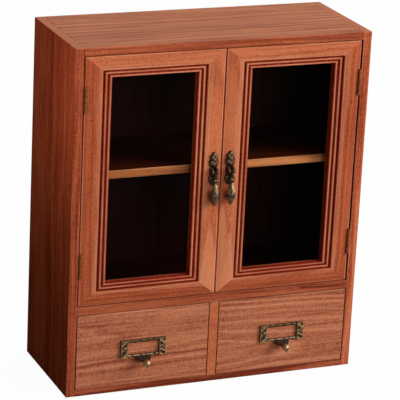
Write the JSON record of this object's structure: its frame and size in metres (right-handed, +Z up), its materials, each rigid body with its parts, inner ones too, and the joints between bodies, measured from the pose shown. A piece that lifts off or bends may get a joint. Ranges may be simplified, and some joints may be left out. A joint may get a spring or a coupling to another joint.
{
  "type": "desktop cabinet",
  "caption": "Small wooden cabinet for a desk, with framed glass doors and a shelf above drawers with label holders.",
  "frame": {"origin": "centre of the underside of the case boards, halfway between its sides and between its front edges and its back", "axes": "+Z up, +Y towards the back panel, so the doors and drawers face -Y, and +X to the right of someone who faces the doors"},
  "size_m": [0.3, 0.1379, 0.345],
  "materials": {
    "case_wood": "red-brown stain under satin lacquer",
    "door_wood": "red-brown stain under satin lacquer",
    "drawer_wood": "red-brown stain under satin lacquer",
    "plain_wood": "bare, planed",
    "dowel_wood": "bare beech",
    "plug": "dark, matt",
    "glass": "clear, polished",
    "aged_brass": "antique, brown in its hollows",
    "hinge_brass": "worn, dull",
    "screw_brass": "dull",
    "steel": "dull zinc",
    "catch_plastic": "brown, matt"
  },
  "bodies": {
    "case": {"side_panel_left": "case_wood", "side_panel_right": "case_wood", "bottom_panel": "case_wood", "middle_deck": "case_wood", "top_panel": "case_wood", "drawer_divider": "case_wood", "back_panel": "case_wood", "back_panel_nails": "steel", "shelf": "case_wood", "shelf_pins": "dowel_wood", "carcase_dowels": "dowel_wood", "hinge_case_leaves_left": "hinge_brass", "hinge_case_leaves_right": "hinge_brass", "hinge_pins": "steel", "hinge_case_screws": "screw_brass", "door_catch": "catch_plastic"},
    "door_left": {"door_left_stile_outer": "door_wood", "door_left_stile_inner": "door_wood", "door_left_rail_bottom": "door_wood", "door_left_rail_top": "door_wood", "door_left_sunk_pin": "plug", "door_left_glass": "glass", "door_left_glass_strips": "door_wood", "hinge_door_leaves_left": "hinge_brass", "hinge_door_screws_left": "screw_brass", "strike_plate_left": "steel", "pull_left_plate": "aged_brass", "pull_left_pin": "aged_brass", "pull_left_nut": "aged_brass"},
    "pendant_left": {"pull_left_pendant": "aged_brass"},
    "drawer_left": {"drawer_left_front": "drawer_wood", "drawer_left_side_outer": "plain_wood", "drawer_left_side_inner": "plain_wood", "drawer_left_back": "plain_wood", "drawer_left_bottom": "plain_wood", "drawer_left_brads": "steel", "label_pull_left": "aged_brass", "label_pins_left": "aged_brass"},
    "door_right": {"door_right_stile_outer": "door_wood", "door_right_stile_inner": "door_wood", "door_right_rail_bottom": "door_wood", "door_right_rail_top": "door_wood", "door_right_sunk_pin": "plug", "door_right_glass": "glass", "door_right_glass_strips": "door_wood", "hinge_door_leaves_right": "hinge_brass", "hinge_door_screws_right": "screw_brass", "strike_plate_right": "steel", "pull_right_plate": "aged_brass", "pull_right_pin": "aged_brass", "pull_right_nut": "aged_brass"},
    "pendant_right": {"pull_right_pendant": "aged_brass"},
    "drawer_right": {"drawer_right_front": "drawer_wood", "drawer_right_side_outer": "plain_wood", "drawer_right_side_inner": "plain_wood", "drawer_right_back": "plain_wood", "drawer_right_bottom": "plain_wood", "drawer_right_brads": "steel", "label_pull_right": "aged_brass", "label_pins_right": "aged_brass"}
  },
  "joints": [
    {"name": "door_left_hinge", "type": "hinge", "parent": "case", "child": "door_left", "pos_m": [-0.1398, -0.0603, 0.2142], "axis": [0, 0, -1], "range_deg": [0, 172]},
    {"name": "drawer_left_slide", "type": "slide", "parent": "case", "child": "drawer_left", "axis": [0, -1, 0], "range_m": [0, 0.085]},
    {"name": "pendant_left_swing", "type": "hinge", "parent": "door_left", "child": "pendant_left", "pos_m": [-0.0085, -0.0656, 0.2174], "axis": [-1, 0, 0], "range_deg": [0, 110]},
    {"name": "door_right_hinge", "type": "hinge", "parent": "case", "child": "door_right", "pos_m": [0.1398, -0.0603, 0.2142], "axis": [0, 0, 1], "range_deg": [0, 172]},
    {"name": "drawer_right_slide", "type": "slide", "parent": "case", "child": "drawer_right", "axis": [0, -1, 0], "range_m": [0, 0.085]},
    {"name": "pendant_right_swing", "type": "hinge", "parent": "door_right", "child": "pendant_right", "pos_m": [0.0085, -0.0656, 0.2174], "axis": [-1, 0, 0], "range_deg": [0, 110]}
  ]
}
